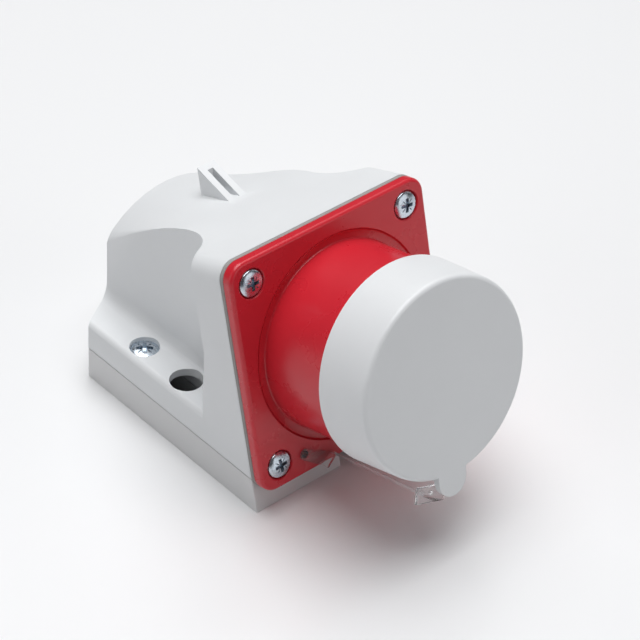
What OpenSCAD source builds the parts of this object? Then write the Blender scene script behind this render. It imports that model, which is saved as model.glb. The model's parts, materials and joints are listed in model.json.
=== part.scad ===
// Wall-mounted industrial plug: a five-pin appliance inlet on a sloping housing,
// shown with its push-on protective cap. Millimetres. The wall plane is z = 0,
// x runs across the width, and the inlet points to -y and leans away from the wall.

/* [Housing] */
// Width of the housing, the wall plate and the flange
body_w = 75; // [74:0.5:84]
// Length of the wall plate, from its lower front edge to the rear wall
plate_l = 89; // [86:0.5:104]
// Height of the wall plate's side wall, up to the split line
base_h = 11.2; // [10:0.2:12]
// Gap at the split line, filled by the seal
split_gap = 0.3; // [0.2:0.1:0.6]
// Wall thickness of the grey mouldings
wall = 2.6; // [2.2:0.1:3]
// Thickness of the housing's front wall behind the flange
front_wall = 3; // [2.4:0.2:3.6]
// Height of the side ledges above the wall
ledge_z = 21; // [19:0.5:24]
// Width of the raised hood between the ledges
hood_w = 47; // [46:0.5:50]
// Length of the tapered rear corners of the ledges
taper_l = 8.5; // [5:0.5:12]
// Depth of the full-width front block behind the flange gasket
block_d = 13.2; // [12.5:0.2:16]
// Corner radius of the housing front, the gasket and the flange
corner_r = 5.5; // [3:0.5:7]
// Height of the roof's crown at the rear wall
rear_z = 53.6; // [50:0.2:58]
// Radius of the arched rear end of the roof
crown_r = 29.2; // [27:0.2:40]
// Distance before the rear wall at which the roof begins to arch
crown_l = 37.5; // [30:0.5:40]
// Rounding along the long edges of the roof
roof_edge_r = 2.5; // [1:0.25:4]
// Rounding of the ledges' outer edges
ledge_edge_r = 2; // [0.5:0.25:3]
// Radius of the soft blend between ledge and hood
ledge_blend_r = 4.5; // [2:0.5:6]
// Radius of the blend between the front block and the hood
shoulder_r = 17; // [12:0.5:18]
// Width of the drain notch in the plate's front edge
notch_w = 8; // [5:0.5:12]
// Height of the drain notch
notch_h = 6.5; // [4:0.5:7]

/* [Inlet] */
// Lean of the inlet axis away from the wall, in degrees
tilt = 15; // [12:0.5:18]
// Height of the flange's lower edge above the wall
flange_foot = 8.54; // [8:0.02:11]
// Height of the flange, measured along its own face
flange_h = 75.5; // [74:0.5:80]
// Thickness of the flange plate
flange_t = 3.6; // [3:0.2:5]
// Rounding of the flange's front edge
flange_edge_r = 1.2; // [0.6:0.1:1.6]
// Thickness of the flange gasket
gasket_t = 1.4; // [1:0.1:2]
// Outer radius of the shroud round the pins
shroud_r = 29.3; // [28.8:0.1:30]
// Wall thickness of the shroud
shroud_wall = 3; // [2.4:0.1:3.4]
// Length of the shroud in front of the flange face
shroud_l = 42.4; // [41:0.2:46]
// Outer radius of the shallow groove round the shroud's root
groove_r = 32.4; // [31.4:0.2:33.4]
// Depth of that groove
groove_t = 0.8; // [0.4:0.1:1.5]
// Width of the coding key on the shroud
key_w = 7; // [5:0.5:9]
// Height of the coding key above the shroud
key_h = 1.7; // [1.2:0.1:2]
// Distance of the flange screws from the flange edges
screw_inset = 7.5; // [7:0.25:8.5]
// Diameter of the hole that the cap's tether is buttoned into
tether_hole_d = 2.6; // [2:0.1:3.2]

/* [Contacts] */
// Radius of the circle that the pins stand on
pin_circle_r = 17; // [16:0.25:17.5]
// Diameter of the phase and neutral pins
pin_d = 5; // [4.5:0.1:6]
// Diameter of the earth pin
earth_d = 7; // [6.5:0.1:7.6]
// Length of the phase and neutral pins in front of the insert
pin_l = 33; // [28:0.5:36]
// Length of the earth pin in front of the insert
earth_l = 38; // [32:0.5:39]
// Thickness of the insulating insert that carries the pins
insert_t = 10.5; // [9:0.5:10.5]
// Thickness of the plate that traps the pins from behind
backplate_t = 2.5; // [2:0.1:3]
// Length of the terminal barrels behind the insert
barrel_l = 18; // [15:0.5:20]

/* [Cap] */
// Depth of the cap's skirt, with its front face
cap_l = 19; // [16:0.5:22]
// Wall thickness of the cap
cap_wall = 2; // [1.6:0.1:2.4]
// Rounding of the cap's front edge
cap_edge_r = 1.5; // [0.8:0.1:2]
// Taper of the skirt, taken off its radius at the front
cap_draft = 0.5; // [0:0.1:0.8]
// Running clearance between the cap and the shroud
cap_fit = 0.3; // [0.25:0.05:0.4]
// Angle of the pull tab from straight down, in degrees
tab_turn = -4; // [-8:1:8]
// Width of the pull tab
tab_w = 10.6; // [8:0.2:13]
// Reach of the pull tab beyond the skirt
tab_out = 6.6; // [4:0.2:9]
// Thickness of the pull tab
tab_t = 2.2; // [1.6:0.1:3]

/* [Fixings] */
// Distance of the ledge screws and wall holes from the side faces
fix_inset = 6.5; // [6.3:0.1:7]
// Place along the plate of the rear pair of ledge holes
fix_rear_y = 16.6; // [14:0.2:20]
// Place along the plate of the front pair of ledge holes
fix_front_y = -3.3; // [-5:0.1:-2]
// Diameter of the wall-fixing holes in the plate
wall_hole_d = 5.5; // [4.5:0.1:6]
// Diameter of the screwdriver access over each wall-fixing hole
access_d = 10.4; // [9.6:0.1:10.8]
// Diameter of the recess round each cover screw
recess_d = 9.4; // [8.8:0.1:10]
// Shank diameter of the housing and flange screws
screw_d = 3.9; // [3.5:0.1:4.2]

/* [Lid hook] */
// Width of the hook on the roof that holds the mating connector's lid
hook_w = 6.5; // [5:0.25:9]
// Thickness of the hook's two gussets
hook_wall = 2.2; // [1.6:0.1:2.4]
// Length of the hook along the roof
hook_l = 13.5; // [10:0.5:16]
// Height of the hook's rear face above the roof
hook_h = 9; // [6:0.5:11]
// Distance of the hook's rear face behind the flange face
hook_back = 55.4; // [48:0.2:60]

/* [Cable entry] */
// Diameter of the cable entry in the rear wall
entry_d = 20.4; // [16:0.2:21]
// Height of the cable entry's centre above the wall
entry_z = 32; // [30:0.5:34]
// Distance between the cable clamp's two screws
clamp_pitch = 24; // [20:0.5:26]
// Place of the cable clamp along the plate
clamp_y = 27; // [24:0.5:30]

/* [Tether] */
// Width of the clear strap that keeps the cap
strap_w = 4.8; // [3:0.2:6]
// Thickness of the strap
strap_t = 0.8; // [0.6:0.1:1.2]
// Length of the strap's turned-up fold at the flange
fold_l = 3; // [1:0.5:6]
// Width of the tab at the strap's end
tab_end_w = 11; // [9:0.5:12]
// Height of that tab
tab_end_h = 8; // [7:0.5:9]
// Diameter of the spare hole in that tab
spare_hole_d = 1.2; // [0.8:0.1:1.6]

/* [Hidden] */
$fn = 64;
eps = 0.01;
// Clearances shared by everything that fits together
slip = 0.2;          // between a plain part and the hole it sits in
thread_fit = 0.05;   // between a screw's shank and the thread cut for it
blend_bite = 0.03;   // how far a blend's arc dips into the walls that it joins

// Lines and planes of the housing
half_w = body_w / 2;
half_l = plate_l / 2;
hood_half = hood_w / 2;
stack = flange_t + gasket_t;
axis_h = flange_foot + flange_h / 2 * cos(tilt);
front_s = (axis_h - stack * sin(tilt)) / cos(tilt);
face_y = -half_l + front_s * sin(tilt) - stack * cos(tilt);
block_n = stack + block_d;
block_y = face_y + block_n / cos(tilt);
plate_front_y = -half_l + base_h * tan(tilt);
cover_z = base_h + split_gap;
side_end_y = half_l - taper_l;
roof_y = face_y + flange_h / 2 * sin(tilt) + stack * cos(tilt);
roof_z = axis_h + flange_h / 2 * cos(tilt) - stack * sin(tilt);
roof_a = atan2(roof_z - rear_z, half_l - roof_y);
crown_y = half_l - crown_l;
crown_drop = crown_r - sqrt(crown_r * crown_r - hood_half * hood_half);
reach = 200;
boss_r = 4.4;
boss_dip = 5;
boss_wall = 1.8;
thread_wall = 2.8;

// Facets of the roof: along its crown, across its arch, and round each long edge
crown_steps = 7;
crown_power = 1.5;    // how gently the arch sets in
roof_steps = 10;
corner_steps = 4;
bar_lift = 0.02;     // how far the corner bar stands above the roof that cuts it
edge_margin = 0.2;   // how far the roof's cut reaches past the hood's sides

// Flange and shroud
screw_x = half_w - screw_inset;
screw_v = flange_h / 2 - screw_inset;
bore_r = shroud_r - shroud_wall;
lip_h = 1.6;
lip_w = 1.1;
spigot_wall = 4.2;
spigot_r = bore_r + spigot_wall;
opening_r = spigot_r + 0.5;
head_r = 4.15;
head_h = 2.4;
head_sink = 1.2;
head_recess_r = 4.6;
screw_hole_r = screw_d / 2 + 0.25;
screw_l = 12;

// Contacts
phase_names_angle = [198, 126, 54];
neutral_angle = -18;
earth_angle = -90;
pin_angles = [198, 126, 54, -18, -90];
barrel_r = 3.8;
earth_barrel_r = 4.6;
collar_w = 1.1;
collar_t = 2.5;
wire_r = 1.9;
wire_depth = 11;
clamp_screw_r = 1.5;
clamp_head_r = 2.5;
clamp_head_h = 1.6;
clamp_screw_back = 6;
insert_screw_r = 1.05;
insert_head_r = 2.1;
insert_head_h = 1.6;
insert_screw_l = 9;
insert_screw_circle = bore_r + spigot_wall / 2;
insert_screw_angles = [90, 210, 330];

// Ledge fixings: cover screws and wall holes stand on opposite diagonals
fix_x = half_w - fix_inset;
cover_screw_spots = [[-fix_x, fix_rear_y], [fix_x, fix_front_y]];
wall_hole_spots = [[-fix_x, fix_front_y], [fix_x, fix_rear_y]];
pan_r = 3.8;
pan_h = 2.4;
recess_depth = 3.2;
wall_head_r = 4.4;
cover_screw_l = 14;

// Seal in the rim of the plate
seal_w = 1.2;
seal_depth = 1.2;
seal_inset = (wall - seal_w) / 2;

// Cap
cap_front = shroud_l + cap_fit + cap_wall;
cap_back = cap_front - cap_l;
cap_in_r = shroud_r + cap_fit;
cap_out_r = cap_in_r + cap_wall;
key_gap_w = key_w + 2 * cap_fit;

// Hook on the roof
hook_drop = tan(roof_a - tilt);
hook_rear_t = 2;

// Cable entry and clamp
grommet_lip = 2.2;
grommet_lip_t = 1.5;
membrane_z = 2.6;
membrane_t = 1;
collar_out = 4.6;
saddle_screw_r = screw_d / 2 - 0.5;
saddle_head_r = 3;
saddle_head_h = 2;
clamp_boss_r = 3.4;
clamp_bar_t = 3.2;
clamp_bar_l = 8;
clamp_rise = 5;

// Strap: it is buttoned in beside the lower flange screw and turns forward under the cap
strap_gap = 2.85;    // between the cap's skirt and the turning point
strap_shift = 9.2;   // from the button across to the turning point
button_shift = 9.5;  // from the flange screw across to the button
button_drop = 0.95;  // from the flange screw down to the button
tether_x = -screw_x + button_shift;
tether_v = -screw_v - button_drop;
strap_turn = [tether_x + strap_shift, -cap_out_r - strap_gap];
strap_front = cap_front - tab_t - slip;
tab_end_r = cap_out_r + key_h + slip;
spare_hole = [-9, -cap_out_r - strap_gap];
tab_end_turn = -18;

// Frames
module at_inlet() {
    translate([0, face_y, axis_h])
        rotate([90 - tilt, 0, 0])
            children();
}

// A profile drawn in y and z, drawn out across the width
module across(w) {
    rotate([90, 0, 90])
        linear_extrude(w, center = true)
            children();
}

// A profile drawn in x and z, drawn out from y = 0 towards the rear
module along(l) {
    translate([0, l, 0])
        rotate([90, 0, 0])
            linear_extrude(l)
                children();
}

module rounded_rect(w, h, r) {
    square([w - 2 * r, h], center = true);
    square([w, h - 2 * r], center = true);
    for (sx = [-1, 1], sy = [-1, 1])
        translate([sx * (w / 2 - r), sy * (h / 2 - r)])
            circle(r = r);
}

module each_flange_screw() {
    for (sx = [-1, 1], sy = [-1, 1])
        translate([sx * screw_x, sy * screw_v, 0])
            children();
}

module each_spot(spots) {
    for (p = spots)
        translate([p[0], p[1], 0])
            children();
}

// A cross recess for a screw head, cut from z = 0 down
module cross_recess(size, depth) {
    for (a = [0, 90])
        rotate([0, 0, a])
            translate([-size / 2, -size / 10, -depth])
                cube([size, size / 5, depth + 1]);
}

// A pan-head screw, head up, its seat at z = 0
module pan_screw(r, l, head, h) {
    difference() {
        union() {
            translate([0, 0, -l])
                cylinder(r = r, h = l + eps);
            rotate_extrude()
                polygon([[0, 0], [head, 0], [head, h * 0.45], [head * 0.8, h * 0.85],
                         [head * 0.45, h], [0, h]]);
        }
        translate([0, 0, h])
            cross_recess(head * 1.15, h * 0.6);
    }
}

// Outline of the plate seen from above, inset by d
function taper_n() = let(dx = half_w - hood_half, l = norm([dx, taper_l])) [taper_l / l, dx / l];
function taper_c(d) = taper_n()[0] * half_w + taper_n()[1] * side_end_y - d;
function plan_right(d) = [[half_w - d, (taper_c(d) - taper_n()[0] * (half_w - d)) / taper_n()[1]],
                          [(taper_c(d) - taper_n()[1] * (half_l - d)) / taper_n()[0], half_l - d]];
function plan_pts(d, front) = let(r = plan_right(d)) [
    [half_w - d, front], r[0], r[1],
    [-r[1][0], r[1][1]], [-r[0][0], r[0][1]], [-half_w + d, front]];

// Outline of the sealed room: the block across the full width, then the hood
function room_pts(d) = [
    [half_w - d, plate_front_y + d], [half_w - d, block_y - d],
    [hood_half - d, block_y - d], [hood_half - d, half_l - d],
    [-hood_half + d, half_l - d], [-hood_half + d, block_y - d],
    [-half_w + d, block_y - d], [-half_w + d, plate_front_y + d]];

// Everything behind the sloping front plane, between two heights
module behind_front(z0, z1) {
    across(2 * reach)
        polygon([[-half_l + z0 * tan(tilt), z0], [reach, z0], [reach, z1],
                 [-half_l + z1 * tan(tilt), z1]]);
}

// Grey wall plate
module base_plate() {
    color("gainsboro")
    difference() {
        intersection() {
            union() {
                difference() {
                    linear_extrude(base_h)
                        polygon(plan_pts(0, -half_l - 1));
                    translate([0, 0, wall])
                        linear_extrude(base_h)
                            polygon(room_pts(wall));
                    for (s = [-1, 1])
                        translate([0, 0, wall])
                            linear_extrude(base_h)
                                intersection() {
                                    polygon(plan_pts(wall, block_y + eps));
                                    translate([s * (hood_half + half_w / 2), 0])
                                        square([half_w, reach], center = true);
                                }
                }
                each_spot(wall_hole_spots)
                    cylinder(r = wall_head_r + boss_wall, h = base_h);
                each_spot(cover_screw_spots)
                    cylinder(r = screw_d / 2 + thread_wall, h = base_h);
                for (s = [-1, 1])
                    translate([s * clamp_pitch / 2, clamp_y, 0])
                        cylinder(r = clamp_boss_r, h = base_h);
            }
            linear_extrude(2 * base_h)
                polygon(plan_pts(0, -half_l - 1));
            behind_front(-eps, base_h);
        }
        each_spot(wall_hole_spots) {
            translate([0, 0, -1])
                cylinder(d = wall_hole_d, h = base_h + 2);
            translate([0, 0, wall + 0.6])
                cylinder(r = wall_head_r, h = base_h);
        }
        each_spot(cover_screw_spots)
            translate([0, 0, 1.5])
                cylinder(r = screw_d / 2 + thread_fit, h = base_h);
        for (s = [-1, 1])
            translate([s * clamp_pitch / 2, clamp_y, wall])
                cylinder(r = saddle_screw_r + thread_fit, h = base_h);
        translate([0, 0, base_h - seal_depth])
            seal_ring(2 * seal_depth);
        translate([-notch_w / 2, -half_l - 1, -1])
            cube([notch_w, 12, notch_h + 1]);
    }
}

module seal_ring(h) {
    linear_extrude(h)
        difference() {
            polygon(room_pts(seal_inset));
            polygon(room_pts(seal_inset + seal_w));
        }
}

// Rubber seal in the rim of the plate
module base_seal() {
    color("dimgray")
    translate([0, 0, base_h - seal_depth])
        seal_ring(seal_depth + split_gap);
}

function front_at(z) = -half_l + z * tan(tilt);
function lean(p, l) = [p[0] + l * sin(tilt), p[1] + l * cos(tilt)];
function roof_at(y) = roof_z - tan(roof_a) * (y - roof_y);

// A bar under the sloping roof that rounds the block's upper corners, inset by d
module corner_bar(d) {
    w = half_w - d;
    r = max(corner_r - d, 1);
    translate([0, roof_y, roof_z])
        rotate([90 - roof_a, 0, 0])
            translate([0, -d + bar_lift, -reach])
                linear_extrude(2 * reach) {
                    translate([-w, -reach])
                        square([2 * w, reach - r]);
                    translate([-w + r, -reach])
                        square([2 * (w - r), reach]);
                    for (s = [-1, 1])
                        translate([s * (w - r), -r])
                            circle(r = r);
                }
}

// The roof: a plane that turns into an arch between crown_y and the rear wall
function crown_share(y) = pow(min(1, max(0, (y - crown_y) / crown_l)), crown_power);
function arch_z(x, w, drop) = drop < eps ? 0 :
    let(r = (w * w + drop * drop) / (2 * drop)) r - sqrt(r * r - x * x);
function corner_z(x, w, e) = abs(x) <= w - e ? 0 : e - sqrt(max(0, e * e - pow(abs(x) - w + e, 2)));
function roof_xs(w, e) = concat(
    [for (i = [0 : corner_steps - 1]) -w + e - e * cos(90 * i / corner_steps)],
    [for (i = [0 : roof_steps]) (-1 + 2 * i / roof_steps) * (w - e)],
    [for (i = [corner_steps - 1 : -1 : 0]) w - e + e * cos(90 * i / corner_steps)]);
function roof_section(y, d) = let(
    w = hood_half + edge_margin - d,
    share = crown_share(y),
    e = max(0.3, roof_edge_r * share),
    top = roof_at(y) - d / cos(roof_a),
    drop = crown_drop * share,
    pts = [for (x = roof_xs(w, e)) [x, y, top - arch_z(x, w, drop) - (share > 0 ? corner_z(x, w, e) : 0)]])
    concat([[-reach, y, -reach], [-reach, y, pts[0][2]]], pts,
           [[reach, y, pts[0][2]], [reach, y, -reach]]);

// Everything below the roof, inset by d
module below_roof(d) {
    ys = concat([-reach / 2], [for (i = [0 : crown_steps]) crown_y + crown_l * i / crown_steps],
                [half_l + wall]);
    sections = [for (y = ys) roof_section(y, d)];
    n = len(sections[0]);
    m = len(sections);
    sides = [for (i = [0 : m - 2], j = [0 : n - 1], k = [0, 1])
        let(a = i * n + j, b = i * n + (j + 1) % n, c = a + n, e = b + n)
        k == 0 ? [a, c, b] : [b, c, e]];
    front_cap = [for (j = [1 : n - 2]) [0, j, j + 1]];
    rear_cap = [for (j = [1 : n - 2]) [0, j + 1, j] + (m - 1) * n * [1, 1, 1]];
    polyhedron(points = [for (q = sections, p = q) p], faces = concat(front_cap, sides, rear_cap));
}

// Side view of the front block, inset by d, from the height z0 up
function block_side(d, z0) = let(
    front_y = front_at(z0) + (d > 0 ? front_wall / cos(tilt) : 0),
    back_y = block_y - d)
    [[front_y, z0], [back_y, z0], [back_y, axis_h], lean([back_y, axis_h], reach), lean([front_y, z0], reach)];

// The housing's outer form
module housing_form() {
    intersection() {
        difference() {
            union() {
                across(2 * body_w)
                    polygon(block_side(0, cover_z));
                translate([-body_w, block_y - 2, cover_z])
                    cube([2 * body_w, half_l - block_y + 2, ledge_z - cover_z]);
                translate([-hood_half, block_y - 2, cover_z])
                    cube([hood_w, half_l - block_y + 2, reach]);
                blends();
            }
            taper_cuts(0);
            ledge_edges();
        }
        corner_bar(0);
        below_roof(0);
    }
}

// What rounds the ledges' outer edges
module ledge_edges() {
    for (s = [0, 1])
        mirror([s, 0, 0])
            translate([half_w, block_y, ledge_z])
                edge_cut(half_l - block_y, ledge_edge_r);
}

// Rounds an edge that runs along y from the origin, with the solid at -x and -z
module edge_cut(l, r) {
    along(l)
        difference() {
            translate([-r, -r])
                square(2 * r);
            translate([-r, -r])
                circle(r = r + blend_bite);
        }
}

// What the tapered rear corners take off the plan, inset by d
module taper_cuts(d) {
    r = plan_right(d);
    for (s = [0, 1])
        mirror([s, 0, 0])
            translate([0, 0, -1])
                linear_extrude(ledge_z + 2 * ledge_blend_r)
                    polygon([2 * r[0] - r[1], [reach, reach], r[1] + 0.1 * (r[1] - r[0])]);
}

// The sealed room inside: the front block and the hood as one hollow
module sealed_room() {
    bottom = cover_z - wall;
    intersection() {
        union() {
            across(2 * body_w)
                polygon(block_side(wall, bottom));
            intersection() {
                translate([-hood_half + wall, block_y - 2 * wall, bottom])
                    cube([hood_w - 2 * wall, half_l - block_y + wall, reach]);
                at_inlet()
                    translate([-reach / 2, -reach / 2, -stack - front_wall - reach])
                        cube([reach, reach, reach]);
            }
            shoulder_rooms();
        }
        corner_bar(wall);
        below_roof(wall);
    }
}

// Soft blends at the foot of the hood and behind the front block
module blends() {
    for (s = [-1, 1]) {
        translate([0, block_y - 1, 0])
            along(half_l - block_y + 1)
                corner_profile(s, hood_half, ledge_z, ledge_blend_r, 0.5);
        translate([0, 0, ledge_z - 1])
            linear_extrude(axis_h - ledge_z + 1)
                corner_profile(s, hood_half, block_y, shoulder_r, 1);
        at_inlet()
            rotate([-90, 0, 0])
                linear_extrude(flange_h)
                    corner_profile(s, hood_half, block_n, shoulder_r, 1);
    }
}

// The hollows behind those blends, one wall further in and above the ledges
module shoulder_rooms() {
    for (s = [-1, 1]) {
        translate([0, 0, ledge_z])
            linear_extrude(axis_h - ledge_z)
                corner_profile(s, hood_half - wall, block_y - wall, shoulder_r + wall, 1);
        intersection() {
            at_inlet()
                rotate([-90, 0, 0])
                    linear_extrude(flange_h)
                        corner_profile(s, hood_half - wall, block_n - wall, shoulder_r + wall, 1);
            translate([-reach, -reach, ledge_z])
                cube(2 * reach);
        }
    }
}

// Concave corner of radius r between a side wall at x and a cross wall at n
module corner_profile(s, x, n, r, over) {
    difference() {
        translate([s > 0 ? x - over : -x - r, n - over])
            square([r + over, r + over]);
        translate([s * (x + r), n + r])
            circle(r = r + blend_bite);
    }
}

// Hook on the roof: two gussets and a rear wall round an open slot
module lid_hook() {
    top = flange_h / 2 - hook_drop * (hook_back - stack);
    front = hook_back - hook_l;
    front_top = flange_h / 2 - hook_drop * (front - stack);
    foot = 1;
    slot_w = hook_w - 2 * hook_wall;
    at_inlet() {
        for (s = [-1, 1])
            translate([s * (hook_w - hook_wall) / 2, 0, 0])
                hook_slice(hook_wall, [[hook_back, top - foot], [hook_back, top + hook_h],
                                       [front, front_top], [front, front_top - foot]]);
        hook_slice(slot_w + 2 * eps,
                   [[hook_back, top - foot], [hook_back, top + hook_h],
                    [hook_back - hook_rear_t, top + hook_h - hook_rear_t * (top + hook_h - front_top) / hook_l],
                    [hook_back - hook_rear_t, top - foot]]);
    }
}

// A slice drawn by depth behind the flange face and height along it
module hook_slice(w, pts) {
    rotate([0, 90, 0])
        linear_extrude(w, center = true)
            polygon(pts);
}

// Hollows under the two ledges, open at the bottom
module ledge_rooms() {
    difference() {
        for (s = [-1, 1])
            translate([s > 0 ? hood_half : -half_w + wall, block_y, cover_z - wall])
                cube([half_w - wall - hood_half, half_l - block_y - wall, ledge_z - cover_z]);
        taper_cuts(wall);
    }
}

// Grey hood with its ledges, bosses and hook, one moulding
module housing_cover() {
    color("whitesmoke")
    difference() {
        union() {
            difference() {
                housing_form();
                sealed_room();
                ledge_rooms();
            }
            lid_hook();
            intersection() {
                at_inlet()
                    each_flange_screw()
                        translate([0, 0, -block_n + wall / 2])
                            cylinder(r = boss_r, h = block_n - stack - front_wall / 2 - wall / 2);
                union() {
                    translate([0, 0, base_h - boss_dip])
                        linear_extrude(reach)
                            polygon(room_pts(wall + slip));
                    translate([0, 0, cover_z])
                        linear_extrude(reach)
                            polygon(room_pts(wall / 2));
                }
            }
            intersection() {
                translate([0, 0, cover_z])
                    each_spot(cover_screw_spots)
                        cylinder(r = recess_d / 2 + boss_wall, h = ledge_z - cover_z - wall / 2);
                linear_extrude(reach)
                    polygon(plan_pts(wall / 2, block_y));
            }
        }
        at_inlet() {
            translate([0, 0, -stack - front_wall - 1])
                cylinder(r = opening_r, h = front_wall + 2);
            each_flange_screw()
                translate([0, 0, -head_sink - screw_l - 0.5])
                    cylinder(r = screw_d / 2 + thread_fit, h = screw_l);
        }
        each_spot(wall_hole_spots)
            translate([0, 0, cover_z])
                cylinder(d = access_d, h = ledge_z);
        each_spot(cover_screw_spots) {
            cylinder(r = screw_hole_r, h = ledge_z + 1);
            translate([0, 0, ledge_z - recess_depth])
                cylinder(d = recess_d, h = recess_depth + 1);
        }
        translate([0, half_l - wall - 1, entry_z])
            rotate([-90, 0, 0])
                cylinder(d = entry_d, h = wall + 2);
    }
}

// Two pan-head screws that hold the hood on the plate
module cover_screws() {
    color("silver")
    each_spot(cover_screw_spots)
        translate([0, 0, ledge_z - recess_depth])
            pan_screw(screw_d / 2, cover_screw_l, pan_r, pan_h);
}

// Foam gasket between the flange and the housing
module flange_gasket() {
    color("darkgray")
    at_inlet()
        translate([0, 0, -stack])
            linear_extrude(gasket_t)
                difference() {
                    rounded_rect(body_w, flange_h, corner_r);
                    circle(r = opening_r);
                    each_flange_screw()
                        circle(r = screw_hole_r);
                }
}

// A plate with rounded corners whose front edge is rounded by e
module soft_plate(w, h, t, r, e) {
    translate([0, 0, -t])
        linear_extrude(t - e)
            rounded_rect(w, h, r);
    translate([0, 0, -t])
        linear_extrude(t)
            rounded_rect(w - 2 * e, h - 2 * e, r - e);
    for (sx = [-1, 1], sy = [-1, 1])
        translate([sx * (w / 2 - r), sy * (h / 2 - r), -e])
            rotate_extrude()
                translate([r - e, 0])
                    circle(r = e);
    for (s = [-1, 1]) {
        translate([0, s * (h / 2 - e), -e])
            rotate([0, 90, 0])
                cylinder(r = e, h = w - 2 * r, center = true);
        translate([s * (w / 2 - e), 0, -e])
            rotate([90, 0, 0])
                cylinder(r = e, h = h - 2 * r, center = true);
    }
}

// Red flange and shroud, one moulding
module inlet_body() {
    color("crimson")
    at_inlet()
        difference() {
            union() {
                difference() {
                    soft_plate(body_w, flange_h, flange_t, corner_r, flange_edge_r);
                    rotate_extrude()
                        polygon([[0, -groove_t], [shroud_r + groove_t, -groove_t],
                                 [groove_r, -groove_t / 3], [groove_r, 1], [0, 1]]);
                }
                translate([0, 0, -groove_t - eps])
                    cylinder(r = shroud_r, h = shroud_l + groove_t + eps);
                translate([-key_w / 2, -shroud_r - key_h, -groove_t - eps])
                    cube([key_w, key_h + shroud_wall / 2, shroud_l + groove_t + eps]);
                translate([0, 0, -insert_t])
                    cylinder(r = spigot_r, h = insert_t - groove_t);
            }
            translate([0, 0, -insert_t - 1])
                cylinder(r = bore_r, h = insert_t + 1);
            translate([0, 0, -eps])
                cylinder(r = bore_r - lip_w, h = lip_h + 2 * eps);
            translate([0, 0, lip_h])
                cylinder(r = bore_r, h = shroud_l);
            each_flange_screw() {
                translate([0, 0, -flange_t - 1])
                    cylinder(r = screw_hole_r, h = flange_t + 2);
                translate([0, 0, -head_sink])
                    cylinder(r = head_recess_r, h = head_sink + 1);
            }
            translate([tether_x, tether_v, -flange_t - 1])
                cylinder(d = tether_hole_d, h = flange_t + 2);
            for (a = insert_screw_angles)
                rotate([0, 0, a])
                    translate([insert_screw_circle, 0, -insert_t - 1])
                        cylinder(r = insert_screw_r + thread_fit, h = insert_screw_l - backplate_t + 1.5);
        }
}

// Four pan-head screws that hold the flange
module flange_screws() {
    color("silver")
    at_inlet()
        each_flange_screw()
            translate([0, 0, -head_sink])
                rotate([0, 0, 20])
                    pan_screw(screw_d / 2, screw_l, head_r, head_h);
}

// Insulating insert that carries the five pins
module contact_insert() {
    color("dimgray")
    at_inlet()
        difference() {
            translate([0, 0, -insert_t])
                cylinder(r = bore_r - slip, h = insert_t);
            for (a = pin_angles)
                rotate([0, 0, a])
                    translate([pin_circle_r, 0, -insert_t - 1]) {
                        cylinder(r = pin_r(a) + slip / 2, h = insert_t + 2);
                        cylinder(r = collar_r(a) + slip / 2, h = collar_t + 1);
                    }
        }
}

function pin_r(a) = (a == earth_angle ? earth_d : pin_d) / 2;
function pin_reach(a) = a == earth_angle ? earth_l : pin_l;
function barrel(a) = a == earth_angle ? earth_barrel_r : barrel_r;
function collar_r(a) = barrel(a) + collar_w;

// A turned pin with its collar and terminal barrel, at its place on the circle
module pin(a) {
    r = pin_r(a);
    tip = pin_reach(a);
    back = -insert_t - barrel_l;
    at_inlet()
        translate([pin_circle_r * cos(a), pin_circle_r * sin(a), 0])
            difference() {
                rotate_extrude()
                    polygon([[0, back], [barrel(a) - 0.4, back], [barrel(a), back + 0.4],
                             [barrel(a), -insert_t], [collar_r(a), -insert_t],
                             [collar_r(a), -insert_t + collar_t], [r, -insert_t + collar_t],
                             [r, tip - r * 0.8], [r * 0.85, tip - r * 0.35],
                             [r * 0.5, tip], [0, tip]]);
                translate([0, 0, back - 1])
                    cylinder(r = wire_r, h = wire_depth + 1);
                translate([0, 0, back + clamp_screw_back])
                    rotate([90, 0, 0])
                        cylinder(r = clamp_screw_r, h = barrel(a) + 1);
            }
}

module phase_pin_1() { color("goldenrod") pin(phase_names_angle[0]); }
module phase_pin_2() { color("goldenrod") pin(phase_names_angle[1]); }
module phase_pin_3() { color("goldenrod") pin(phase_names_angle[2]); }
module neutral_pin() { color("goldenrod") pin(neutral_angle); }
module earth_pin() { color("goldenrod") pin(earth_angle); }

// Clamping screws of the five terminals, heads towards the wall plate
module terminal_screws() {
    color("silver")
    at_inlet()
        for (a = pin_angles)
            translate([pin_circle_r * cos(a), pin_circle_r * sin(a),
                       -insert_t - barrel_l + clamp_screw_back])
                rotate([90, 0, 0])
                    difference() {
                        union() {
                            translate([0, 0, wire_r])
                                cylinder(r = clamp_screw_r - thread_fit, h = barrel(a) + 0.6 - wire_r);
                            translate([0, 0, barrel(a) + 0.5])
                                cylinder(r = clamp_head_r, h = clamp_head_h);
                        }
                        translate([-clamp_head_r - 1, -0.4, barrel(a) + 0.5 + clamp_head_h - 0.8])
                            cube([2 * clamp_head_r + 2, 0.8, 2]);
                    }
}

// Plate that traps the insert and the pins from behind
module insert_backplate() {
    color("slategray")
    at_inlet()
        difference() {
            translate([0, 0, -insert_t - backplate_t])
                cylinder(r = spigot_r, h = backplate_t);
            for (a = pin_angles)
                rotate([0, 0, a])
                    translate([pin_circle_r, 0, -insert_t - backplate_t - 1])
                        cylinder(r = barrel(a) + slip, h = backplate_t + 2);
            for (a = insert_screw_angles)
                rotate([0, 0, a])
                    translate([insert_screw_circle, 0, -insert_t - backplate_t - 1])
                        cylinder(r = insert_screw_r + slip, h = backplate_t + 2);
        }
}

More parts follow.
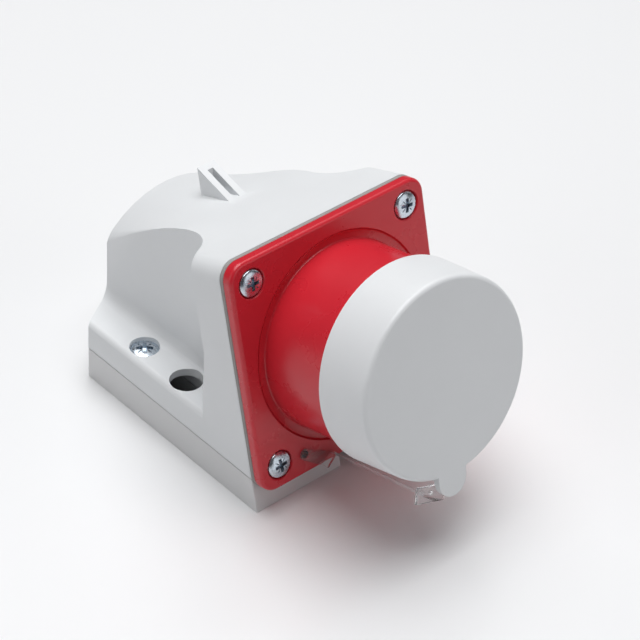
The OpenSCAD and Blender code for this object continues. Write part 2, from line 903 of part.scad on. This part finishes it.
// Three small screws that hold the backplate to the flange's spigot
module insert_screws() {
    color("silver")
    at_inlet()
        for (a = insert_screw_angles)
            rotate([0, 0, a])
                translate([insert_screw_circle, 0, -insert_t - backplate_t])
                    rotate([180, 0, 0])
                        pan_screw(insert_screw_r, insert_screw_l, insert_head_r, insert_head_h);
}

// Rubber grommet with a closed membrane in the rear wall
module cable_grommet() {
    r = entry_d / 2;
    color("gray")
    translate([0, half_l, entry_z])
        rotate([-90, 0, 0])
            rotate_extrude()
                polygon([[0, membrane_z + membrane_t], [r * 0.5, membrane_z + membrane_t],
                         [r * 0.55, collar_out], [r * 0.72, collar_out],
                         [r * 0.78, membrane_z], [r * 0.95, membrane_z], [r, grommet_lip_t],
                         [r + grommet_lip - 0.5, grommet_lip_t], [r + grommet_lip, grommet_lip_t - 0.5],
                         [r + grommet_lip, 0], [r - slip / 2, 0], [r - slip / 2, -wall],
                         [r + grommet_lip * 0.7, -wall], [r, -wall - grommet_lip_t],
                         [r * 0.5, -wall - grommet_lip_t], [r * 0.5, membrane_z], [0, membrane_z]]);
}

// Saddle bar that grips the cable on the plate
module cable_clamp() {
    half = clamp_pitch / 2;
    color("lightgray")
    translate([0, clamp_y, base_h])
        difference() {
            union() {
                translate([-half - 4, -clamp_bar_l / 2, 0])
                    cube([clamp_pitch + 8, clamp_bar_l, clamp_bar_t]);
                rotate([90, 0, 0])
                    cylinder(r = clamp_rise + clamp_bar_t, h = clamp_bar_l, center = true);
            }
            rotate([90, 0, 0])
                cylinder(r = clamp_rise, h = clamp_bar_l + 2, center = true);
            translate([-half, -clamp_bar_l, -reach])
                cube([clamp_pitch, 2 * clamp_bar_l, reach]);
            for (s = [-1, 1])
                translate([s * half, 0, -1])
                    cylinder(r = saddle_screw_r + slip, h = clamp_bar_t + 2);
        }
}

// Two screws that pull the saddle down
module cable_clamp_screws() {
    color("silver")
    for (s = [-1, 1])
        translate([s * clamp_pitch / 2, clamp_y, base_h + clamp_bar_t])
            pan_screw(saddle_screw_r, base_h - slip, saddle_head_r, saddle_head_h);
}

// White push-on cap with its pull tab
module protective_cap() {
    front_r = cap_out_r - cap_draft;
    color("white")
    at_inlet()
        difference() {
            union() {
                rotate_extrude() {
                    polygon([[0, cap_back], [cap_out_r, cap_back], [front_r, cap_front - cap_edge_r],
                             [front_r - cap_edge_r, cap_front - cap_edge_r],
                             [front_r - cap_edge_r, cap_front], [0, cap_front]]);
                    translate([front_r - cap_edge_r, cap_front - cap_edge_r])
                        intersection() {
                            circle(r = cap_edge_r);
                            square(cap_edge_r);
                        }
                }
                intersection() {
                    translate([0, 0, cap_back])
                        cylinder(r = cap_out_r + key_h, h = cap_l - cap_edge_r - tab_t);
                    translate([-key_gap_w / 2 - cap_wall, -reach, 0])
                        cube([key_gap_w + 2 * cap_wall, reach, reach]);
                }
                rotate([0, 0, tab_turn])
                    translate([0, 0, cap_front - tab_t])
                        linear_extrude(tab_t) {
                            translate([0, -front_r - tab_out + tab_w / 2])
                                circle(d = tab_w);
                            translate([-tab_w / 2, -front_r - tab_out + tab_w / 2])
                                square([tab_w, front_r / 2]);
                        }
            }
            translate([0, 0, cap_back - 1])
                cylinder(r = cap_in_r, h = cap_l - cap_wall + 1);
            intersection() {
                translate([0, 0, cap_back - 1])
                    cylinder(r = cap_in_r + key_h, h = cap_l - cap_wall + 1);
                translate([-key_gap_w / 2, -reach, 0])
                    cube([key_gap_w, reach, reach]);
            }
        }
}

// A strip of the strap in plan, from the turning point out at angle a
module strap_strip(a) {
    translate(strap_turn)
        rotate(a)
            translate([0, -strap_t / 2])
                square([strap_w, strap_t]);
}

// Clear strap that keeps the cap: a button in the flange, a paddle that lies on the
// flange, a band that runs forward below the cap, and a tab with a spare hole
module cap_tether() {
    fold_a = 219;
    band_a = -41;
    fold_end = strap_turn + strap_w * [cos(fold_a), sin(fold_a)];
    paddle_r = strap_w / 2 - 0.6;
    color("lightblue")
    at_inlet() {
        translate([tether_x, tether_v, -flange_t + slip])
            cylinder(d = tether_hole_d - slip, h = flange_t);
        linear_extrude(strap_t) {
            translate([tether_x, tether_v])
                circle(r = paddle_r);
            polygon([[tether_x + 0.6, tether_v + paddle_r - 0.2], strap_turn, fold_end,
                     [tether_x - 1, tether_v - paddle_r + 0.4]]);
        }
        linear_extrude(fold_l)
            strap_strip(fold_a);
        linear_extrude(strap_front)
            strap_strip(band_a);
        translate([0, 0, strap_front - strap_t])
            linear_extrude(strap_t)
                difference() {
                    translate(spare_hole)
                        rotate(tab_end_turn)
                            translate([-tab_end_w / 2, 5 - tab_end_h])
                                square([tab_end_w, tab_end_h]);
                    circle(r = tab_end_r);
                    translate(spare_hole)
                        circle(d = spare_hole_d);
                }
    }
}

base_plate();
base_seal();
housing_cover();
cover_screws();
flange_gasket();
inlet_body();
flange_screws();
contact_insert();
phase_pin_1();
phase_pin_2();
phase_pin_3();
neutral_pin();
earth_pin();
terminal_screws();
insert_backplate();
insert_screws();
cable_grommet();
cable_clamp();
cable_clamp_screws();
protective_cap();
cap_tether();
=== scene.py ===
"""Wall-mounted industrial plug: the finish of each piece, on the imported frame, in metres."""
import bpy
import bmesh
import json
from math import cos, pi, radians, sin
from mathutils import Matrix, Vector


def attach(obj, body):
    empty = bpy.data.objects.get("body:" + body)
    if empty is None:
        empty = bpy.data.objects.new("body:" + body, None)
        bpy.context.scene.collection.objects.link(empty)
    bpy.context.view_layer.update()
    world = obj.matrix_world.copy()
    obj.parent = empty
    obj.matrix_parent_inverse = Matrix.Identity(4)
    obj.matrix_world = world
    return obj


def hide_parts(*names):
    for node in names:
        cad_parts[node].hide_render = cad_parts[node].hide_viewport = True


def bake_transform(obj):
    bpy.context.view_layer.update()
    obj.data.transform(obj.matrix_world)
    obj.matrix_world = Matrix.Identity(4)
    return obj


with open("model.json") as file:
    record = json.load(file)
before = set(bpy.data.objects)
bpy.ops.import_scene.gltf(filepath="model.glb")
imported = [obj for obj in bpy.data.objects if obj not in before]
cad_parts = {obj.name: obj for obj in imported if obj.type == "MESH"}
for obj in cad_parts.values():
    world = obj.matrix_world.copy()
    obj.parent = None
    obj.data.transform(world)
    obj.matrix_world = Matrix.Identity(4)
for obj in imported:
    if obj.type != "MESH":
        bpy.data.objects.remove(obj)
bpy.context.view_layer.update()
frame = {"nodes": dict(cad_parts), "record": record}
nodes = frame["nodes"]
mm = 0.001

# The inlet's own frame: x across the flange, y up it and z out of its face
tilt = radians(15)
face_y = -37.6187 * mm
axis_h = 45.0036 * mm
inlet = Matrix.Translation((0, face_y, axis_h)) @ Matrix.Rotation(pi / 2 - tilt, 4, "X")

# Screws: places and turns, sizes, and how far their seats lie below the surface round them
flange_screw_x = 30 * mm
flange_screw_y = 30.25 * mm
flange_screw_turns = (radians(6), radians(-4), radians(14), radians(-9))
head_sink = 1.2 * mm
flange_head_r = 4.2 * mm
flange_head_h = 1.9 * mm
flange_screw_l = 12 * mm
ledge_z = 21 * mm
ledge_recess = 3.2 * mm
cover_head_r = 5 * mm
cover_head_h = 2.9 * mm
cover_screw_l = 14 * mm
ledge_screws = ((-31 * mm, 16.6 * mm, radians(-38)), (31 * mm, -3.3 * mm, radians(15)))
shank_r = 1.95 * mm
thread_pitch = 0.7 * mm
driver_depth = 1.9 * mm

# Meshes: how near two points are one, how flat two faces are one, and which edges are corners
same_point = 0.005 * mm
hood_same_point = 0.05 * mm
same_plane = radians(0.4)
corner_angle = radians(40)

# Strap: how far its long edges are rounded, and the shortest edge that is rounded
strap_edge = 0.15 * mm
strap_shortest_edge = 0.6 * mm


# Camera: the photograph's own viewpoint, found from the flange's corners and the screws
def set_camera():
    data = bpy.data.cameras.new("photo_camera")
    data.lens = 167.75
    data.sensor_width = 36
    camera = bpy.data.objects.new("photo_camera", data)
    right = Vector((0.74659, -0.66367, 0.04633))
    down = Vector((-0.39395, -0.49715, -0.77308))
    ahead = right.cross(down)
    turn = Matrix((right, -down, -ahead)).transposed()
    camera.matrix_world = Matrix.Translation((-0.47484, -0.52244, 0.60436)) @ turn.to_4x4()
    bpy.context.scene.collection.objects.link(camera)
    bpy.context.scene.camera = camera


# Materials
def new_material(name):
    material = bpy.data.materials.new(name)
    material.use_nodes = True
    tree = material.node_tree
    shader = tree.nodes["Principled BSDF"]
    return material, tree, shader


def add_node(tree, kind, **values):
    node = tree.nodes.new(kind)
    for name, value in values.items():
        if name in node.inputs:
            node.inputs[name].default_value = value
        else:
            setattr(node, name, value)
    return node


def object_point(tree):
    return tree.nodes.new("ShaderNodeTexCoord").outputs["Object"]


def noise(tree, point, scale, detail):
    node = add_node(tree, "ShaderNodeTexNoise", Scale=scale, Detail=detail, Roughness=0.55)
    tree.links.new(point, node.inputs["Vector"])
    return node.outputs["Fac"]


def ramp(tree, value, low, high):
    """Maps the middle of a noise to a number between low and high."""
    node = add_node(tree, "ShaderNodeMapRange", interpolation_type="SMOOTHSTEP")
    node.inputs["From Min"].default_value = 0.2
    node.inputs["From Max"].default_value = 0.8
    node.inputs["To Min"].default_value = low
    node.inputs["To Max"].default_value = high
    tree.links.new(value, node.inputs["Value"])
    return node.outputs["Result"]


def mix_colour(tree, share, first, second):
    """Blends two colours by a noise."""
    node = tree.nodes.new("ShaderNodeMix")
    node.data_type = "RGBA"
    tree.links.new(share, node.inputs["Factor"])
    node.inputs[6].default_value = (*first, 1)
    node.inputs[7].default_value = (*second, 1)
    return node.outputs[2]


def add_bump(tree, shader, height, distance, strength, below=None):
    node = add_node(tree, "ShaderNodeBump", Strength=strength, Distance=distance)
    tree.links.new(height, node.inputs["Height"])
    if below is not None:
        tree.links.new(below, node.inputs["Normal"])
    tree.links.new(node.outputs["Normal"], shader.inputs["Normal"])
    return node.outputs["Normal"]


def moulded_plastic(name, colour, rough, grain=900, grain_depth=0.00002, mottle=0.04):
    """Moulded plastic: cloudy colour, spark-eroded grain, and rougher patches from handling."""
    material, tree, shader = new_material(name)
    point = object_point(tree)
    cloud = noise(tree, point, 28, 4)
    darker = tuple(c * (1 - mottle) for c in colour)
    lighter = tuple(min(1, c * (1 + mottle)) for c in colour)
    tree.links.new(mix_colour(tree, cloud, darker, lighter), shader.inputs["Base Color"])
    patches = noise(tree, point, 60, 5)
    tree.links.new(ramp(tree, patches, rough - 0.05, rough + 0.07), shader.inputs["Roughness"])
    wave = add_bump(tree, shader, noise(tree, point, 90, 2), 0.00003, 0.6)
    add_bump(tree, shader, noise(tree, point, grain, 2), grain_depth, 0.8, wave)
    return material


def plated_steel(name, colour, rough):
    """Plated metal: cool and warm tints, small dull spots and a faint grain."""
    material, tree, shader = new_material(name)
    point = object_point(tree)
    shader.inputs["Metallic"].default_value = 1.0
    tint = noise(tree, point, 420, 2)
    cool = (colour[0] * 0.82, colour[1] * 0.93, colour[2] * 1.08)
    tree.links.new(mix_colour(tree, tint, cool, colour), shader.inputs["Base Color"])
    spots = noise(tree, point, 1100, 3)
    tree.links.new(ramp(tree, spots, rough - 0.04, rough + 0.08), shader.inputs["Roughness"])
    add_bump(tree, shader, noise(tree, point, 1300, 2), 0.000004, 0.4)
    return material


def rubber(name, colour, grain=1400):
    material, tree, shader = new_material(name)
    point = object_point(tree)
    dust = noise(tree, point, 180, 6)
    pale = tuple(c * 1.5 + 0.02 for c in colour)
    tree.links.new(mix_colour(tree, dust, colour, pale), shader.inputs["Base Color"])
    tree.links.new(ramp(tree, dust, 0.7, 0.9), shader.inputs["Roughness"])
    add_bump(tree, shader, noise(tree, point, grain, 5), 0.00005, 0.8)
    return material


def clear_plastic(name):
    material, tree, shader = new_material(name)
    point = object_point(tree)
    shader.inputs["Base Color"].default_value = (0.96, 0.965, 0.97, 1)
    shader.inputs["Transmission Weight"].default_value = 0.93
    shader.inputs["IOR"].default_value = 1.2
    scuffs = noise(tree, point, 500, 6)
    tree.links.new(ramp(tree, scuffs, 0.03, 0.16), shader.inputs["Roughness"])
    add_bump(tree, shader, noise(tree, point, 350, 3), 0.00003, 0.4)
    return material


def make_materials():
    return {
        "grey_housing": moulded_plastic("grey_housing", (0.76, 0.775, 0.79), 0.42),
        "grey_plate": moulded_plastic("grey_plate", (0.70, 0.70, 0.705), 0.45),
        "red_plastic": moulded_plastic("red_plastic", (0.60, 0.02, 0.034), 0.28, grain=700,
                                       grain_depth=0.000003, mottle=0.05),
        "cap_plastic": moulded_plastic("cap_plastic", (0.77, 0.785, 0.80), 0.38, grain=500),
        "clear_strap": clear_plastic("clear_strap"),
        "zinc_steel": plated_steel("zinc_steel", (0.68, 0.71, 0.725), 0.24),
        "terminal_steel": plated_steel("terminal_steel", (0.66, 0.66, 0.64), 0.3),
        "pin_brass": plated_steel("pin_brass", (0.80, 0.62, 0.30), 0.22),
        "insert_plastic": moulded_plastic("insert_plastic", (0.035, 0.035, 0.04), 0.5),
        "clamp_plastic": moulded_plastic("clamp_plastic", (0.5, 0.51, 0.52), 0.5),
        "seal_rubber": rubber("seal_rubber", (0.05, 0.05, 0.052)),
        "gasket_foam": rubber("gasket_foam", (0.25, 0.235, 0.23), grain=2400),
    }


materials = make_materials()
slot_of = {p["node"]: p["material_slot"] for p in frame["record"]["subparts"]}


# Floor and light
def make_stage():
    floor = bpy.data.objects.new("floor", bpy.data.meshes.new("floor"))
    work = bmesh.new()
    bmesh.ops.create_grid(work, x_segments=1, y_segments=1, size=4)
    work.to_mesh(floor.data)
    work.free()
    bpy.context.scene.collection.objects.link(floor)
    material, tree, shader = new_material("floor")
    shader.inputs["Base Color"].default_value = (0.86, 0.865, 0.875, 1)
    shader.inputs["Roughness"].default_value = 0.28
    floor.data.materials.append(material)


def area_light(name, place, target, power):
    data = bpy.data.lights.new(name, "AREA")
    data.shape = "SQUARE"
    data.size = 1
    data.energy = power
    light = bpy.data.objects.new(name, data)
    light.location = place
    light.rotation_euler = (Vector(target) - Vector(place)).to_track_quat("-Z", "Y").to_euler()
    bpy.context.scene.collection.objects.link(light)


def make_lights():
    world = bpy.data.worlds.new("studio")
    world.use_nodes = True
    world.node_tree.nodes["Background"].inputs["Color"].default_value = (0.93, 0.945, 1, 1)
    world.node_tree.nodes["Background"].inputs["Strength"].default_value = 0.06
    bpy.context.scene.world = world
    middle = (0, -0.02, 0.04)
    area_light("rear_light", (0.25, 0.45, 1.2), middle, 7.9)
    area_light("top_light", (0, 0, 1.3), middle, 11)
    area_light("left_light", (-1.3, 0.2, 0.6), middle, 3.2)
    area_light("right_light", (1.3, 0, 0.7), middle, 1.4)
    area_light("front_light", (0.5, -1.3, 0.5), middle, 3.0)
    bpy.context.scene.view_settings.view_transform = "Standard"


# Pieces
def add_piece(name, work, slot, body, replaced, flat_angle):
    """Makes an object of a bmesh, smooth but for its sharp edges, and puts it in its node's place."""
    for face in work.faces:
        face.smooth = True
    for edge in work.edges:
        edge.smooth = edge.calc_face_angle(pi) < radians(flat_angle)
    mesh = bpy.data.meshes.new(name)
    work.to_mesh(mesh)
    work.free()
    mesh.materials.append(materials[slot])
    piece = bpy.data.objects.new(name, mesh)
    bpy.context.scene.collection.objects.link(piece)
    if body is not None:
        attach(piece, body)
    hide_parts(replaced)
    return piece


def node_copy(name, merge):
    """A node's mesh, joined up, with its flat faces whole."""
    work = bmesh.new()
    work.from_mesh(nodes[name].data)
    bmesh.ops.remove_doubles(work, verts=work.verts, dist=merge)
    bmesh.ops.dissolve_limit(work, angle_limit=same_plane, verts=work.verts, edges=work.edges)
    return work


def mark_corners(work):
    """Weights the edges that are to be rounded."""
    weight = work.edges.layers.float.new("bevel_weight_edge")
    for edge in work.edges:
        if edge.calc_face_angle(0) > corner_angle:
            edge[weight] = 1


def soften(piece, width):
    """Rounds the weighted edges as a mould does, and lets the flat faces lead the shading."""
    bevel = piece.modifiers.new("edges", "BEVEL")
    bevel.limit_method = "WEIGHT"
    bevel.width = width
    bevel.segments = 2
    bevel.use_clamp_overlap = False
    shading = piece.modifiers.new("shading", "WEIGHTED_NORMAL")
    shading.keep_sharp = True
    shading.weight = 50


def moulding(node, name, width, body="housing", merge=same_point):
    """A moulded piece: the node's copy, with its corners rounded where a width is given."""
    work = node_copy(node, merge)
    mark_corners(work)
    piece = add_piece(name, work, slot_of[node], body, node, 50)
    if width > 0:
        soften(piece, width)


def spun(profile, steps):
    """Spins a closed profile, given as radius and height, round the z axis."""
    work = bmesh.new()
    points = [work.verts.new((r, 0, z)) for r, z in profile]
    edges = [work.edges.new(pair) for pair in zip(points, points[1:])]
    bmesh.ops.spin(work, geom=points + edges, cent=(0, 0, 0), axis=(0, 0, 1), angle=2 * pi,
                   steps=steps, use_merge=True)
    bmesh.ops.remove_doubles(work, verts=work.verts, dist=0.000001)
    bmesh.ops.recalc_face_normals(work, faces=work.faces)
    return work


def mesh_of(work, name):
    mesh = bpy.data.meshes.new(name)
    work.to_mesh(mesh)
    work.free()
    return mesh


def cut(work, cutter):
    """Takes one bmesh out of another with an exact boolean."""
    whole = bpy.data.objects.new("whole", mesh_of(work, "whole"))
    tool = bpy.data.objects.new("tool", mesh_of(cutter, "tool"))
    for item in (whole, tool):
        bpy.context.scene.collection.objects.link(item)
    boolean = whole.modifiers.new("cut", "BOOLEAN")
    boolean.operation = "DIFFERENCE"
    boolean.solver = "EXACT"
    boolean.use_self = True
    boolean.object = tool
    bpy.context.view_layer.update()
    ready = whole.evaluated_get(bpy.context.evaluated_depsgraph_get())
    result = bmesh.new()
    result.from_mesh(ready.data)
    for item in (whole, tool):
        data = item.data
        bpy.data.objects.remove(item)
        bpy.data.meshes.remove(data)
    return result


def driver_recess(head_r, top, depth):
    """The cross of a driver, tapered to its floor, with four fine marks between its arms."""
    tool = bmesh.new()
    arm_l = head_r * 1.34
    arm_w = head_r * 0.34
    for turn in (0, pi / 2):
        arm = bmesh.ops.create_cube(tool, size=1)["verts"]
        bmesh.ops.scale(tool, vec=(arm_l, arm_w, depth * 2), verts=arm)
        floor = [v for v in arm if v.co.z < 0]
        bmesh.ops.scale(tool, vec=(0.6, 0.6, 1), verts=floor)
        bmesh.ops.rotate(tool, cent=(0, 0, 0), matrix=Matrix.Rotation(turn, 3, "Z"), verts=arm)
    for corner in range(4):
        mark = bmesh.ops.create_cube(tool, size=1)["verts"]
        bmesh.ops.scale(tool, vec=(head_r * 0.34, head_r * 0.07, head_r * 0.3), verts=mark)
        bmesh.ops.translate(tool, vec=(head_r * 0.42, 0, 0), verts=mark)
        turn = Matrix.Rotation(pi / 4 + corner * pi / 2, 3, "Z")
        bmesh.ops.rotate(tool, cent=(0, 0, 0), matrix=turn, verts=mark)
    bmesh.ops.translate(tool, vec=(0, 0, top), verts=tool.verts)
    return tool


def pan_screw(head_r, head_h, shank_l):
    """A pan head on a grooved shank, seat at z = 0."""
    brow = [(head_r * 0.96 * sin(a * pi / 16), head_h * (0.5 + 0.5 * cos(a * pi / 16))) for a in range(8)]
    profile = brow + [(head_r * 0.985, head_h * 0.52), (head_r, head_h * 0.42), (head_r, head_h * 0.08),
                      (head_r * 0.97, 0), (shank_r, 0)]
    for groove in range(int(shank_l / thread_pitch) - 1):
        z = -0.5 * mm - groove * thread_pitch
        profile += [(shank_r, z), (shank_r * 0.8, z - thread_pitch / 2)]
    profile += [(shank_r * 0.8, -shank_l + 0.4 * mm), (shank_r * 0.55, -shank_l), (0, -shank_l)]
    return cut(spun(profile, 48), driver_recess(head_r, head_h, driver_depth))


def set_screws(name, node, screw, places):
    """Copies one screw to each place, as one piece."""
    shape = mesh_of(screw, name + "_one")
    work = bmesh.new()
    for place in places:
        first = len(work.verts)
        work.from_mesh(shape)
        work.verts.ensure_lookup_table()
        bmesh.ops.transform(work, matrix=place, verts=work.verts[first:])
    bpy.data.meshes.remove(shape)
    add_piece(name, work, "zinc_steel", "housing", node, 35)


def flange_screws():
    corners = [(x, y) for x in (-flange_screw_x, flange_screw_x) for y in (-flange_screw_y, flange_screw_y)]
    places = []
    for (x, y), turn in zip(corners, flange_screw_turns):
        places.append(inlet @ Matrix.Translation((x, y, -head_sink)) @ Matrix.Rotation(turn, 4, "Z"))
    screw = pan_screw(flange_head_r, flange_head_h, flange_screw_l)
    set_screws("flange_pan_screws", "flange_screws", screw, places)


def cover_screws():
    seat_z = ledge_z - ledge_recess
    places = [Matrix.Translation((x, y, seat_z)) @ Matrix.Rotation(turn, 4, "Z")
              for x, y, turn in ledge_screws]
    screw = pan_screw(cover_head_r, cover_head_h, cover_screw_l)
    set_screws("cover_pan_screws", "cover_screws", screw, places)


def clear_strap():
    """The strap, which bends between the flange and the cap, as one piece on no body, its long sharp edges
    rounded.
    """
    work = node_copy("cap_tether", same_point)
    sharp = [e for e in work.edges if e.calc_face_angle(0) > radians(50)]
    corners = [e for e in sharp if e.calc_length() > strap_shortest_edge]
    bmesh.ops.bevel(work, geom=corners, offset=strap_edge, offset_type="OFFSET", segments=2,
                    profile=0.5, affect="EDGES", clamp_overlap=True, material=-1)
    piece = add_piece("strap_ribbon", work, "clear_strap", None, "cap_tether", 40)
    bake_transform(piece)


def finish_node(name):
    node = nodes[name]
    node.data.materials.clear()
    node.data.materials.append(materials[slot_of[name]])


set_camera()
make_stage()
make_lights()
for name in nodes:
    finish_node(name)
moulding("housing_cover", "hood", 0, merge=hood_same_point)
moulding("base_plate", "wall_plate", 0.3 * mm)
moulding("inlet_body", "red_inlet", 0.35 * mm)
moulding("protective_cap", "push_on_cap", 0, body="cap")
moulding("flange_gasket", "foam_gasket", 0.2 * mm)
moulding("cable_grommet", "entry_grommet", 0.3 * mm)
moulding("cable_clamp", "clamp_bar", 0.3 * mm)
moulding("contact_insert", "pin_insert", 0.25 * mm)
flange_screws()
cover_screws()
clear_strap()
